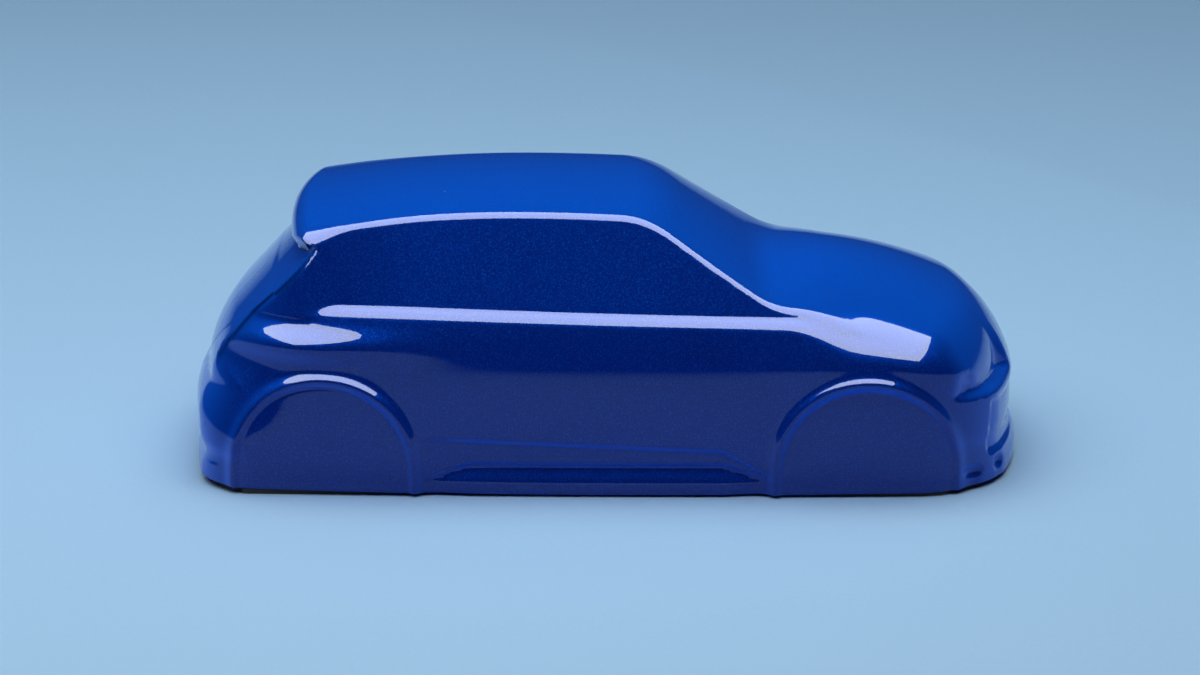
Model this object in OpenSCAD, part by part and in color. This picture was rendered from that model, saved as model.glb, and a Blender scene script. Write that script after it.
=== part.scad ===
// Painted display form of a small five-seat hatchback: a thin moulded shell with the wheels
// standing only as flat discs in raised arches, closed below by a black base plate.
// X runs forward, Y to the car's left, Z up, with the table at zero. All sizes in millimetres.

/* [Overall form] */
// Length over the bumpers
body_l = 218; // [200:1:236]
// Width over the doors at the waist
body_w = 96; // [90:0.5:102]
// Height of the roof's crown above the table
roof_z = 74.8; // [72:0.1:78]
// Height of the doors' widest line
waist_z = 26; // [22:0.5:30]
// Vertical curve of the doors above the waist
door_r = 60; // [50:1:80]
// Vertical curve of the doors below the waist
tuck_r = 260; // [180:5:400]
// Bow of the sides seen from above
side_bow_r = 2200; // [1500:50:4000]

/* [Belt line and bonnet] */
// Crown height of the belt surface at mid length
deck_z = 53.6; // [51:0.1:56]
// Fall of the belt line towards the nose, per millimetre
deck_fall = 0.022; // [0.01:0.002:0.04]
// Cross curve of the belt surface
deck_cross_r = 160; // [120:5:240]
// Distance from the nose at which the bonnet starts to curve down
hood_back = 59; // [54:0.5:64]
// Lengthwise curve of the bonnet on the centre line
hood_r = 96; // [80:1:130]
// Lengthwise curve of the front wings
wing_r = 122; // [100:1:180]
// Height of the bonnet's rear edge above the belt surface
hood_rise = 2.2; // [1:0.1:4]
// Depth to which the bonnet's edge runs out under the belt surface
hood_sink = 3; // [2:0.1:5]
// Length over which the bonnet's edge runs out
hood_run = 34; // [28:0.5:40]
// Crown of the bonnet above the belt surface
hood_crown = 3; // [1:0.1:4]
// Half width over which the bonnet is crowned
crown_half_w = 44; // [40:0.5:48]
// Rounding of the shoulder under the windows
belt_edge_r = 2.4; // [1.8:0.1:4]
// Rounding of the front wing's top edge
wing_edge_r = 7; // [5:0.5:12]

/* [Cabin] */
// Step in from the shoulder to the window
belt_step = 1.4; // [0.8:0.1:2.5]
// Cover of the cabin over the shoulder at the tail
belt_cover = 0.8; // [0.4:0.1:1.5]
// Hollow rounding between the shoulder and the window
belt_hollow_r = 0.6; // [0.4:0.1:2]
// Distance in from the widest line at which the belt's height is taken
belt_in = 4; // [3:0.5:6]
// Lean of the side windows, per millimetre of height
window_lean = 0.43; // [0.35:0.01:0.5]
// Lean of the rear pillars, per millimetre of height
pillar_lean = 0.36; // [0.25:0.01:0.45]
// Rounding of the roof rails and front pillars
rail_r = 1.6; // [1.2:0.1:4]
// Place of the roof's highest line
roof_x = -22; // [-30:0.5:-10]
// Lengthwise curve of the roof ahead of its highest line
roof_front_r = 560; // [400:10:900]
// Lengthwise curve of the roof behind its highest line
roof_rear_r = 350; // [300:10:900]
// Cross curve of the roof
roof_cross_r = 210; // [150:5:300]
// Distance of the windscreen's foot from the nose
shield_back = 57; // [53:0.5:61]
// Height of the windscreen's foot on the centre line
shield_z = 46.4; // [45:0.1:50]
// Rise of the windscreen, per millimetre
shield_rise = 0.70; // [0.6:0.01:0.8]
// Bow of the windscreen seen from above
shield_bow_r = 400; // [250:10:600]
// Easing of the windscreen's rise towards its sides
shield_twist = 0.00007; // [0:0.00001:0.0001]
// Rounding of the windscreen's top edge
header_r = 4; // [2:0.1:8]
// Hollow rounding where the windscreen meets the bonnet
cowl_r = 2.6; // [1.5:0.1:5]

/* [Nose] */
// Bow of the nose seen from above
nose_bow_r = 95; // [70:1:140]
// Rounding from the nose into bonnet and wings
nose_r = 17; // [12:0.5:20]
// Height of the chin lip
chin_z = 4.5; // [3.5:0.1:6]
// Stand-out of the chin lip
chin_out = 0.7; // [0.2:0.1:1.5]
// Height of the hollow above the chin
chin_hollow_z = 11.5; // [10:0.1:14]
// Depth of the hollow above the chin
chin_hollow = 0.6; // [0:0.1:1.2]
// Reach up and down of the chin's lip and hollow
chin_reach = 3; // [2:0.1:4]
// Top of the hollow lamp faces
lamp_top_z = 43; // [40:0.5:44]
// Foot of the hollow lamp faces, where they are deepest
lamp_foot_z = 27; // [25:0.5:29]
// Depth of the hollow lamp faces
lamp_depth = 4; // [0:0.1:4.5]
// Inner end of the lamp faces, from the centre line
lamp_inner_y = 10; // [8:0.5:14]
// Outer end of the lamp faces, from the centre line
lamp_outer_y = 45; // [40:0.5:48]
// Top of the hollow middle of the bumper
grille_top_z = 23; // [21:0.5:25]
// Foot of the hollow middle of the bumper
grille_foot_z = 9; // [7:0.5:11]
// Half width of the hollow middle of the bumper
grille_half_w = 35; // [32:0.5:38]
// Depth of the hollow middle of the bumper
grille_depth = 0.9; // [0:0.1:1.5]
// Height of the two pairs of oval scoops
scoop_z = 5.2; // [4.5:0.1:6]
// Depth of the oval scoops
scoop_depth = 0.6; // [0:0.1:1]
// Distance of the outer scoops from the centre line
scoop_outer_y = 40.5; // [39:0.5:42]
// Distance of the inner scoops from the centre line
scoop_inner_y = 31.5; // [30:0.5:33]

/* [Tail] */
// Height of the rear bumper's rearmost line
bumper_z = 18; // [14:0.5:22]
// Curve of the bumper's top
bumper_r = 10; // [7:0.5:14]
// Height of the waist line in the rear bumper
bumper_hollow_z = 8.5; // [7:0.1:11]
// Depth of the waist line in the rear bumper
bumper_hollow = 1.3; // [0:0.1:2]
// Reach up and down of the waist line in the rear bumper
bumper_hollow_reach = 2.6; // [2:0.1:4]
// Distance of the tailgate's foot in from the bumper
gate_in = 3.6; // [2:0.1:6]
// Height of the tailgate's foot
gate_foot_z = 26.5; // [24:0.5:29]
// Height of the tailgate's curved part
gate_tall = 15.7; // [13:0.1:18]
// Curve of the tailgate
gate_r = 16.9; // [14:0.1:20]
// Bow of the tail seen from above
tail_bow_r = 190; // [120:5:300]
// Distance of the spoiler's edge in from the bumper
spoiler_in = 25.9; // [23:0.1:28]
// Height of the spoiler's edge
spoiler_z = 61; // [59:0.1:64]
// Sharpness of the spoiler's edge
spoiler_lip = 0.35; // [0.2:0.05:0.5]
// Rise of the spoiler's edge towards its ends
spoiler_arch = 0.005; // [0:0.001:0.01]
// Rounding of the bumper's corners
tail_r = 12; // [8:0.5:16]
// Rounding of the crease between the tailgate and the sides
crease_r = 1; // [0.6:0.1:4]
// Rounding of the roof into the spoiler's corners
roof_tail_r = 5; // [3:0.5:10]
// Distance ahead of the rear wheel's centre at which the sides start to turn in
quarter_lead = 3.2; // [0:0.1:6]
// Curve of the sides as they turn in towards the tail
quarter_r = 23; // [18:0.5:40]

/* [Wheel discs] */
// Distance of the rear wheel's centre from the tail
rear_overhang = 35.8; // [32:0.1:40]
// Distance of the front wheel's centre from the nose
front_overhang = 41.1; // [37:0.1:45]
// Height of the wheel centres
axle_z = 7.5; // [5:0.1:10]
// Radius of the flat discs
disc_r = 21.3; // [19:0.1:23]
// Distance of the disc faces from the centre line
disc_y = 47.2; // [45:0.1:48]
// Stand-out of the arch lips
lip_out = 1.5; // [0.8:0.1:2.2]
// Distance from a disc's edge to the top of its lip
lip_gap = 2.5; // [2:0.1:3.5]
// Half breadth of the arch lips
lip_half = 1.6; // [1.2:0.1:2.5]
// Stand-out of the haunch behind the rear wheel
haunch_out = 3.4; // [1:0.1:4]
// Distance of the haunch's fullest place behind the rear wheel's centre
haunch_back = 14.8; // [8:0.1:18]
// Reach of the haunch forward and back
haunch_reach = 29; // [20:0.5:34]
// Height of the haunch's fullest line
haunch_z = 40; // [36:0.5:42]
// Reach of the haunch up and down
haunch_tall = 4; // [3:0.1:7]
// Stand-out of the wing over the front wheel
wing_out = 1.9; // [0:0.1:3]
// Height of the wing's fullest line
wing_z = 35; // [32:0.5:38]
// Reach of the wing forward and back
wing_reach = 22; // [18:0.5:28]
// Reach of the wing up and down
wing_tall = 8; // [6:0.1:10]

/* [Sill] */
// Height of the fold in the doors at its rear end
fold_z = 15.7; // [14.5:0.1:17]
// Fall of the fold towards the front, per millimetre
fold_fall = 0.041; // [0.02:0.001:0.06]
// Fall of the fold past its bend, per millimetre
fold_drop = 0.56; // [0.4:0.01:0.7]
// Depth of the fold
fold_depth = 1; // [0:0.1:1.5]
// Height of the rocker's upper edge
rocker_z = 8.6; // [7.5:0.1:10]
// Depth of the rocker's upper edge
rocker_depth = 0.8; // [0:0.1:1.5]
// Stand-out of the rocker's foot
rocker_out = 0; // [0:0.1:1]
// Fall of the rocker's edge at its ends, per millimetre
rocker_fall = 0.36; // [0.2:0.01:0.5]

/* [Shell] */
// Wall thickness
wall = 2; // [1.5:0.1:3]
// Height of the lower edge above the table at mid length
edge_mid_z = 0.6; // [0.4:0.1:1]
// Height of the lower edge at the tail
edge_rear_z = 1.9; // [1:0.1:2.2]
// Height of the lower edge at the nose
edge_front_z = 1.4; // [1:0.1:2.2]

/* [Base plate] */
// Thickness
plate_t = 3; // [2.5:0.1:4]
// Gap between the plate and the shell's wall
plate_gap = 0.3; // [0.2:0.05:0.5]
// Distance between the two plinth screw holes
plinth_pitch = 100; // [80:1:120]
// Radius of the plinth screw holes
plinth_hole_r = 1.6; // [1.2:0.05:2.5]

/* [Corner blocks] */
// Length along the car
block_l = 16; // [12:0.5:20]
// Breadth across the car
block_b = 13; // [11:0.5:16]
// Height above the plate
block_h = 11; // [10:0.5:14]
// Glue gap between a block and the shell's wall
glue_gap = 0.3; // [0.1:0.05:0.5]

/* [Screws] */
// Shank radius
screw_r = 1.4; // [1:0.05:1.75]
// Length from the head's face to the tip
screw_l = 10; // [8:0.5:11]
// Head radius
head_r = 2.8; // [2.5:0.05:3.2]
// Straight edge of the head
head_land = 0.3; // [0.2:0.05:0.5]
// Depth of the head's face above the plate's underside
head_sink = 0.2; // [0.1:0.05:0.4]
// Gap round a shank or head
screw_gap = 0.2; // [0.1:0.05:0.4]

/* [Hidden] */

paint_blue = [0.02, 0.16, 0.52];
plate_black = [0.03, 0.03, 0.035];
block_grey = [0.55, 0.55, 0.57];
steel = [0.72, 0.73, 0.75];

front_x = body_l / 2;
half_w = body_w / 2;
upright_z = plate_t + 0.4;
rear_axle_x = rear_overhang - front_x;
front_axle_x = front_x - front_overhang;

// Places along the car at which shapes begin and are full
hood_x = front_x - hood_back;
hood_top_x = hood_x - 6;
crown_from_x = hood_x - 4;
crown_full_x = hood_x + 12;
wing_from_x = hood_x - 4;
wing_full_x = hood_x + 16;
shield_x = front_x - shield_back;
belt_from_x = rear_axle_x - 6.8;
belt_full_x = rear_axle_x + 5.2;
pillar_from_x = rear_axle_x + 28.2;
pillar_full_x = rear_axle_x - 1.8;
rail_from_x = rear_axle_x + 9.2;
rail_full_x = rear_axle_x - 8.8;
quarter_x = rear_axle_x + quarter_lead;
haunch_x = rear_axle_x - haunch_back;
wing_x = front_axle_x + 2;
fold_rear_x = rear_axle_x + 27;
fold_bend_x = front_axle_x - 37.4;
fold_in_x = [rear_axle_x + 21.2, rear_axle_x + 39.2, front_axle_x - 31.9, front_axle_x - 21.9];
rocker_in_x = [rear_axle_x + 37.2, front_axle_x - 36.9];

// Heights between which the tail's corner turns from a rounding into a crease, and the sides turn in
crease_from_z = 20;
crease_full_z = 36;
quarter_from_z = 12;
quarter_full_z = 48;

// Softness of steps and edges in the hollows of the nose, the fold and the rocker
lamp_fade = 6;
lamp_lip = 2.5;
scoop_tall = 1.3;
scoop_wide = [2.2, 2];
fold_half = 1;
rocker_half = 0.8;
rocker_low_z = [3.6, 6.5];

// The points of the surface lie on rays from a core inside the body: level rays up to the core's
// height, then rays that fan up to the roof. The core rises to the tail.
core_rear = [45 - front_x, 44];
core_front = [front_x - 33, 38];
low_core_x = front_x - 14;
corner_r = 12;
end_steps = 9;
door_steps = 9;
fan_rows = 21;
inner_fan_rows = 8;
fan_end = 84;
halvings = 17;

// Lines of the net round each wheel, as radii from its centre: the disc's edge, the lip and its foot
arch_lines = [disc_r - 2, disc_r - 0.4, disc_r + 0.9, disc_r + lip_gap,
              disc_r + lip_gap + lip_half, disc_r + lip_gap + 2.4 * lip_half];
arch_reach = arch_lines[5];
arch_fade = 9;

// Corner blocks and screws in order: rear right, rear left, front right, front left
corner_x = [rear_axle_x, rear_axle_x, front_axle_x, front_axle_x];
corner_side = [-1, 1, -1, 1];
block_y = disc_y - wall - glue_gap - block_b / 2;

function mix(a, b, t) = a + (b - a) * t;
function sqr(t) = t * t;
function past(t) = max(t, 0);
function part_way(t) = min(max(t, 0), 1);

// Smooth step from 0 at a to 1 at b
function ramp(a, b, t) =
    let (s = part_way((t - a) / (b - a)))
    s * s * (3 - 2 * s);

// Bump of height one and half breadth w
function bell(t, w) = exp(-sqr(t / w));

// The greater of two values, with the kink rounded over the span k
function soft_max(a, b, k) =
    let (h = part_way(0.5 + 0.5 * (a - b) / k))
    b + (a - b) * h + k * h * (1 - h);
function soft_min(a, b, k) = -soft_max(-a, -b, k);

// Inside both of two solids, with the edge between them rounded to radius r
function round_and(a, b, r) =
    min(-r, max(a, b)) + norm([past(r + a), past(r + b)]);

// Half width of the doors and wings at a place and height
function door_bow(x) = sqr(x) / (2 * side_bow_r);
function door_curve(z) =
    half_w - sqr(z - waist_z) / (2 * (z > waist_z ? door_r : tuck_r));
function haunches(x, z) =
    haunch_out * bell(x - haunch_x, haunch_reach) * bell(z - haunch_z, haunch_tall)
    + wing_out * bell(x - wing_x, wing_reach) * bell(z - wing_z, wing_tall);

// The sides turn in towards the tail above the bumper
function quarter(x, z) =
    sqr(past(quarter_x - x)) / (2 * quarter_r) * ramp(quarter_from_z, quarter_full_z, z);

// Below the doors: a fold steps in, the rocker's edge steps in again and its foot comes out
function sill(x, z) =
    let (fold = fold_z - fold_fall * (x - fold_rear_x) - (fold_drop - fold_fall) * past(x - fold_bend_x),
         rocker = rocker_z - rocker_fall * (past(rocker_in_x[0] - x) + past(x - rocker_in_x[1])),
         in_fold = ramp(fold_in_x[0], fold_in_x[1], x) * ramp(fold_in_x[3], fold_in_x[2], x),
         in_rocker = ramp(rocker_low_z[0], rocker_low_z[1], rocker),
         top = rocker - rocker_half / 2,
         back = ramp(top, upright_z, min(z, top)) * part_way((rocker - upright_z) / (rocker_z - upright_z)))
    back * (fold_depth * in_fold + (rocker_depth + rocker_out) * in_rocker)
    - fold_depth * in_fold * ramp(fold + fold_half, fold - fold_half, z)
    - rocker_depth * in_rocker * ramp(rocker + rocker_half, rocker - rocker_half, z);

// A flat disc with a raised lip round it, both going straight down below the wheel's centre
function with_disc(w, x, z, axle_x) =
    let (r = norm([x - axle_x, past(z - axle_z)]))
    mix(w + lip_out * bell(r - disc_r - lip_gap, lip_half), disc_y,
        ramp(disc_r + 1.4, disc_r - 0.4, r));
function side_y(x, z) =
    let (w = door_curve(z) - door_bow(x) + haunches(x, z) + sill(x, z) - quarter(x, z))
    with_disc(with_disc(w, x, z, rear_axle_x), x, z, front_axle_x);

// Height of the belt surface, which is the front wings at the front, and of the bonnet
function belt_z(x, y) =
    deck_z - deck_fall * x - y * y / (2 * deck_cross_r)
    - sqr(past(x - hood_x)) / 2 * mix(1 / hood_r, 1 / wing_r, sqr(y / crown_half_w))
    + hood_crown * ramp(crown_from_x, crown_full_x, x) * (1 - sqr(y / crown_half_w));
function hood_z(x, y) =
    belt_z(x, y) + mix(-hood_sink, hood_rise, ramp(hood_top_x + hood_run, hood_top_x, x));

// Half width of the cabin, and height of its roof, windscreen and bonnet
function cabin_y(x, z) =
    let (foot_z = belt_z(min(x, hood_x), half_w - belt_in) - belt_edge_r)
    door_curve(foot_z) - door_bow(x) - quarter(x, quarter_full_z)
    - mix(-belt_cover, belt_step, ramp(belt_from_x, belt_full_x, x))
    - mix(window_lean, pillar_lean, ramp(pillar_from_x, pillar_full_x, x)) * past(z - foot_z);
function cabin_z(x, y) =
    let (roof = roof_z - sqr(x - roof_x) / (2 * (x > roof_x ? roof_front_r : roof_rear_r))
                - y * y / (2 * roof_cross_r),
         shield = shield_z + (shield_rise - shield_twist * y * y) * (shield_x - x)
                  - shield_rise * y * y / (2 * shield_bow_r))
    soft_min(roof, soft_max(shield, hood_z(x, y), cowl_r), header_r);

// Hollows in the nose: lamp faces that deepen downwards, the middle of the bumper, oval scoops
function nose_hollows(y, z) =
    lamp_depth * ramp(lamp_inner_y, lamp_inner_y + lamp_fade, y)
        * ramp(lamp_outer_y, lamp_outer_y - lamp_fade, y)
        * part_way((lamp_top_z - z) / (lamp_top_z - lamp_foot_z))
        * ramp(lamp_foot_z - lamp_lip, lamp_foot_z, z)
    + grille_depth * ramp(grille_half_w + 1, grille_half_w - 1, y)
        * ramp(grille_foot_z - 1, grille_foot_z + 1, z) * ramp(grille_top_z + 1, grille_top_z - 1, z)
    + scoop_depth * bell(z - scoop_z, scoop_tall)
        * (bell(y - scoop_outer_y, scoop_wide[0]) + bell(y - scoop_inner_y, scoop_wide[1]));

// Reach of the nose and of the tail at a height
function nose_reach(y, z) =
    front_x - chin_out - y * y / (2 * nose_bow_r)
    + chin_out * bell(z - chin_z, chin_reach)
    - chin_hollow * bell(z - chin_hollow_z, chin_reach) - nose_hollows(y, z);
function tail_reach(y, z) =
    let (bumper = front_x - sqr(past(z - bumper_z)) / (2 * bumper_r)
                  - bumper_hollow * bell(z - bumper_hollow_z, bumper_hollow_reach),
         rise = min(past(z - gate_foot_z), gate_tall),
         gate = front_x - gate_in - rise * rise / (2 * gate_r)
                - rise / gate_r * past(z - gate_foot_z - gate_tall),
         spoiler = front_x - spoiler_in - spoiler_lip * sqr(past(spoiler_z + spoiler_arch * y * y - z)))
    soft_max(soft_max(gate, bumper, 1), spoiler, 0.6) - y * y / (2 * tail_bow_r);

// Distance outside the painted surface, below zero inside; upright round the base plate
function depth(p) =
    let (x = p.x, y = abs(p.y), z = max(p.z, upright_z),
         tail = -x - tail_reach(y, z),
         corner = mix(tail_r, crease_r, ramp(crease_from_z, crease_full_z, z)),
         shoulder = mix(belt_edge_r, wing_edge_r, ramp(wing_from_x, wing_full_x, x)),
         rail = mix(rail_r, roof_tail_r, ramp(rail_from_x, rail_full_x, x)),
         lower = round_and(round_and(y - side_y(x, z), tail, corner), z - belt_z(x, y), shoulder),
         cabin = round_and(round_and(y - cabin_y(x, z), tail, corner), z - cabin_z(x, y), rail))
    round_and(soft_min(lower, cabin, belt_hollow_r), x - nose_reach(y, z), nose_r);

// Place along a ray at which the depth comes to a level
function reach(from, way, level, near = 0, far = body_l / 2, left = halvings) =
    left == 0 ? (near + far) / 2
    : let (middle = (near + far) / 2)
      depth(from + way * middle) > level
          ? reach(from, way, level, near, middle, left - 1)
          : reach(from, way, level, middle, far, left - 1);

// Point of the right-hand half of a rounded rectangle round the body, a way t along it from the middle
turn = corner_r * PI / 2;
side_end = front_x - corner_r;
way_end = side_end + turn + half_w - corner_r;
function plan_point(t) =
    let (past_side = abs(t) - side_end, a = 90 * past_side / turn)
    past_side < 0 ? [t, -half_w]
    : past_side < turn
      ? [sign(t) * (side_end + corner_r * sin(a)), corner_r - half_w - corner_r * cos(a)]
    : [sign(t) * front_x, past_side - turn - half_w + corner_r];
function edge_z(x) =
    edge_mid_z + (x < 0 ? edge_rear_z - edge_mid_z : edge_front_z - edge_mid_z) * sqr(x / front_x);

// Ways of the net's upright lines, closer together at the arches
arch_ways = concat([for (i = [5:-1:0]) -arch_lines[i]], [-14, -7, 0, 7, 14], arch_lines);
line_ways = concat(
    [for (i = [0:end_steps - 1]) mix(-way_end, rear_axle_x - arch_reach, i / end_steps)],
    [for (u = arch_ways) rear_axle_x + u],
    [for (i = [1:door_steps]) mix(rear_axle_x + arch_reach, front_axle_x - arch_reach, i / (door_steps + 1))],
    [for (u = arch_ways) front_axle_x + u],
    [for (i = [1:end_steps]) mix(front_axle_x + arch_reach, way_end, i / end_steps)]);
half_steps = len(line_ways) - 1;

// Heights of the net's level lines on the outside, from above the upright rim to the arches' feet
row_heights = concat(
    [upright_z, rocker_z - 2.6, rocker_z - rocker_half, rocker_z + rocker_half],
    [for (down = [3.9, 2.5, 1.1, -0.5]) fold_z - down],
    [for (t = [0.35, 0.7]) mix(fold_z, axle_z + arch_lines[0], t)],
    [for (r = arch_lines) axle_z + r]);
inner_heights = [upright_z, fold_z, waist_z];

// Bends the net round a wheel, so that squares about its centre become circles
function bend(p, axle_x) =
    let (u = p.x - axle_x, w = p.y - axle_z, s = max(abs(u), w),
         keep = ramp(arch_reach, arch_reach + arch_fade, s),
         round = w > 0 ? [u, w] * s / norm([u, w]) : [u, w])
    [axle_x, axle_z] + mix(round, [u, w], keep);
function bent(t, z) = bend(bend([t, z], rear_axle_x), front_axle_x);

// Point on a level line, and point on a line of the fan
function level_point(t, z, level) =
    let (b = bent(t, z), q = plan_point(b.x),
         from = [min(max(q.x, -low_core_x), low_core_x), 0, b.y],
         to = [q.x, q.y, b.y])
    along(from, to - from, level);
function fan_point(t, tilt, level) =
    let (q = plan_point(t),
         x = min(max(q.x, core_rear.x), core_front.x),
         z = mix(core_rear.y, core_front.y, (x - core_rear.x) / (core_front.x - core_rear.x)),
         flat = (q - [x, 0]) / norm(q - [x, 0]))
    along([x, 0, z], [flat.x * cos(tilt), flat.y * cos(tilt), sin(tilt)], level);
function along(from, to, level) =
    let (way = to / norm(to))
    from + way * reach(from, way, level);

// Tilt of a line of the fan: the lines close up at the belt line and at the roof rails
function fan_tilt(v) = fan_end * (v - 0.033 * (sin(360 * (v - 0.15) / 0.35) + sin(360 * 0.15 / 0.35)));

// Half rings from the lower edge up to the roof, all on one level of depth
function half_rings(heights, fans, level) = concat(
    [[for (t = line_ways) level_point(t, edge_z(plan_point(t).x), level)]],
    [for (z = heights) [for (t = line_ways) level_point(t, z, level)]],
    [for (v = [0:fans]) [for (t = line_ways) fan_point(t, fan_tilt(v / fans), level)]]);

// A half ring made whole by mirroring
function whole_ring(half) = concat(
    half,
    [for (i = [half_steps - 1:-1:1]) [half[i].x, -half[i].y, half[i].z]]);

ring_n = 2 * half_steps;
function at(first, row, j) = first + row * ring_n + (j + ring_n) % ring_n;

// Two triangles over four corners
function pair(a, b, c, d) = [[a, b, c], [a, c, d]];

// Distance of the middle of an edge from its level of depth
function edge_off(p, q, level) = abs(depth((p + q) / 2) - level);

// Faces between rings, facing out or in, each four corners split along the diagonal nearer the surface
function band_faces(points, first, rows, level, outward) = [
    for (row = [0:rows - 2], j = [0:ring_n - 1])
        let (a = at(first, row, j), b = at(first, row, j + 1),
             c = at(first, row + 1, j + 1), d = at(first, row + 1, j),
             other = edge_off(points[b], points[d], level) < edge_off(points[a], points[c], level))
        for (f = outward ? (other ? pair(d, c, b, a) : pair(a, d, c, b))
                         : (other ? pair(b, c, d, a) : pair(a, b, c, d))) f];

// Faces across the top ring
function cap_faces(first, row, outward) = [
    for (i = [0:half_steps - 1])
        let (a = at(first, row, i), b = at(first, row, i + 1),
             c = at(first, row, -i - 1), d = at(first, row, -i))
        for (f = i == 0 ? [[a, c, b]] : i == half_steps - 1 ? [[a, d, b]] : pair(a, d, c, b))
            outward ? f : [f[2], f[1], f[0]]];

module shell() {
    outer = half_rings(row_heights, fan_rows, 0);
    inner = half_rings(inner_heights, inner_fan_rows, -wall);
    outer_n = len(outer) * ring_n;
    points = [for (half = concat(outer, inner)) each whole_ring(half)];
    edge = [for (j = [0:ring_n - 1])
        each pair(at(0, 0, j), at(0, 0, j + 1), at(outer_n, 0, j + 1), at(outer_n, 0, j))];
    color(paint_blue)
        polyhedron(points, concat(
            band_faces(points, 0, len(outer), 0, true),
            cap_faces(0, len(outer) - 1, true),
            band_faces(points, outer_n, len(inner), -wall, false),
            cap_faces(outer_n, len(inner) - 1, false),
            edge));
}

// Outline of the plate, one gap inside the shell's upright rim
function plate_outline() =
    [for (p = whole_ring([for (t = line_ways) level_point(t, upright_z, -wall - plate_gap)]))
        [p.x, p.y]];

// Room for a countersunk screw, which seats on the cone
module screw_room() {
    seat_z = head_sink + head_land;
    hole_r = screw_r + screw_gap;
    rotate_extrude($fn = 48)
        polygon([[0, -1], [head_r + screw_gap, -1], [head_r + screw_gap, seat_z], [head_r, seat_z],
                 [hole_r, seat_z + head_r - hole_r], [hole_r, plate_t + 1], [0, plate_t + 1]]);
}

module base_plate() {
    color(plate_black)
        difference() {
            linear_extrude(plate_t)
                polygon(plate_outline());
            for (i = [0:3])
                translate([corner_x[i], corner_side[i] * block_y, 0])
                    screw_room();
            for (side = [-1, 1])
                translate([side * plinth_pitch / 2, 0, -1])
                    cylinder(r = plinth_hole_r, h = plate_t + 2, $fn = 48);
        }
}

module block(i) {
    color(block_grey)
        translate([corner_x[i], corner_side[i] * block_y, plate_t])
            difference() {
                translate([-block_l / 2, -block_b / 2, 0])
                    cube([block_l, block_b, block_h]);
                translate([0, 0, -1])
                    cylinder(r = screw_r + screw_gap, h = screw_l + head_sink - plate_t + 2, $fn = 48);
            }
}

module screw(i) {
    seat_z = head_sink + head_land;
    color(steel)
        translate([corner_x[i], corner_side[i] * block_y, 0])
            rotate_extrude($fn = 48)
                polygon([[0, head_sink], [head_r, head_sink], [head_r, seat_z],
                         [screw_r, seat_z + head_r - screw_r],
                         [screw_r, head_sink + screw_l], [0, head_sink + screw_l]]);
}

shell();
base_plate();
for (i = [0:3]) {
    block(i);
    screw(i);
}
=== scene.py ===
import math
import bpy
import numpy as np
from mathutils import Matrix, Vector


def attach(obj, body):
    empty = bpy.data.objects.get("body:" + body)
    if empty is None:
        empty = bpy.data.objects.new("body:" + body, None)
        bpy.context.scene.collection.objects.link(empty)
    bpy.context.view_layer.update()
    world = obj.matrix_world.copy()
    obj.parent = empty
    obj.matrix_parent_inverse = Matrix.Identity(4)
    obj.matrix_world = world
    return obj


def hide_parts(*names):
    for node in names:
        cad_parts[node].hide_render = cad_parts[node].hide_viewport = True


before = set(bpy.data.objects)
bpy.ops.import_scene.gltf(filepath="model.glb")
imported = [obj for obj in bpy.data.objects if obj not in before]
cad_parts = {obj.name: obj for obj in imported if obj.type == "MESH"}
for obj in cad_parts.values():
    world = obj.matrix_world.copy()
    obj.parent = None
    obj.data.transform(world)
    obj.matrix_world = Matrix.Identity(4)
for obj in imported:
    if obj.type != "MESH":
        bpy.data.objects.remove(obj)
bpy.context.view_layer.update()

mm = 0.001

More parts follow.
